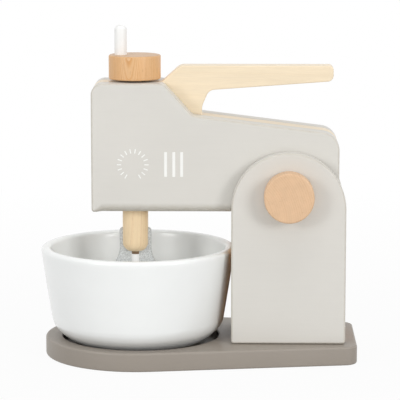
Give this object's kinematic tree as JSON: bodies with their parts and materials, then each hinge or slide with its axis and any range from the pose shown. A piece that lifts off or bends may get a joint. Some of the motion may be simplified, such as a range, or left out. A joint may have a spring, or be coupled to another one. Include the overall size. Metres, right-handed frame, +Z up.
{
  "type": "toy stand mixer",
  "caption": "Wooden play stand mixer: a head tips up on a column, a crank peg turns a flat beater, and a bowl lifts out of a pocket in the base.",
  "frame": {"origin": "on the table, under the middle of the toy's overall box", "axes": "+X from bowl to column, +Y from the front to the back, +Z up"},
  "size_m": [0.261, 0.1604, 0.2735],
  "materials": {
    "grey_paint": "light warm grey satin paint on wood",
    "taupe_paint": "taupe satin paint on wood",
    "white_paint": "white satin paint on wood",
    "beech": "clear-oiled beech",
    "pale_wood": "clear-varnished pale wood",
    "dowel_wood": "plain hardwood dowel",
    "silver_paint": "matt silver-grey paint on thin board",
    "nylon": "plain nylon washer",
    "steel": "zinc-plated countersunk screw"
  },
  "bodies": {
    "stand": {"base_board": "taupe_paint", "column_cheek_front": "grey_paint", "column_cheek_back": "grey_paint", "column_front_panel": "beech", "column_rear_panel": "beech", "front_panel_dowel_front_1": "dowel_wood", "front_panel_dowel_front_2": "dowel_wood", "front_panel_dowel_back_1": "dowel_wood", "front_panel_dowel_back_2": "dowel_wood", "rear_panel_dowel_front_1": "dowel_wood", "rear_panel_dowel_front_2": "dowel_wood", "rear_panel_dowel_back_1": "dowel_wood", "rear_panel_dowel_back_2": "dowel_wood", "base_screw_front_1": "steel", "base_screw_front_2": "steel", "base_screw_back_1": "steel", "base_screw_back_2": "steel"},
    "head": {"head_board_front": "grey_paint", "head_core_board": "pale_wood", "head_board_back": "grey_paint", "head_dowel_1": "dowel_wood", "head_dowel_2": "dowel_wood", "head_dowel_3": "dowel_wood"},
    "pivot_knobs": {"pivot_axle": "dowel_wood", "pivot_knob_front": "beech", "pivot_knob_back": "beech"},
    "mixer": {"top_knob": "beech", "knob_washer": "nylon", "crank_peg": "white_paint", "drive_rod": "dowel_wood", "beater_shaft": "dowel_wood", "beater_blade": "silver_paint", "beater_centre_rod": "white_paint"},
    "bowl": {"mixing_bowl": "white_paint"}
  },
  "joints": [
    {"name": "head_tilt", "type": "hinge", "parent": "stand", "child": "head", "pos_m": [0.074, 0, 0.1386], "axis": [0, 1, 0], "range_deg": [0, 75]},
    {"name": "pivot_knob_turn", "type": "hinge", "parent": "stand", "child": "pivot_knobs", "pos_m": [0.074, 0, 0.1386], "axis": [0, 1, 0], "continuous": true},
    {"name": "crank_turn", "type": "hinge", "parent": "head", "child": "mixer", "pos_m": [-0.0523, 0, 0.1223], "axis": [0, 0, 1], "continuous": true},
    {"name": "bowl_lift", "type": "slide", "parent": "stand", "child": "bowl", "axis": [0, 0, 1], "range_m": [0, 0.012]}
  ]
}
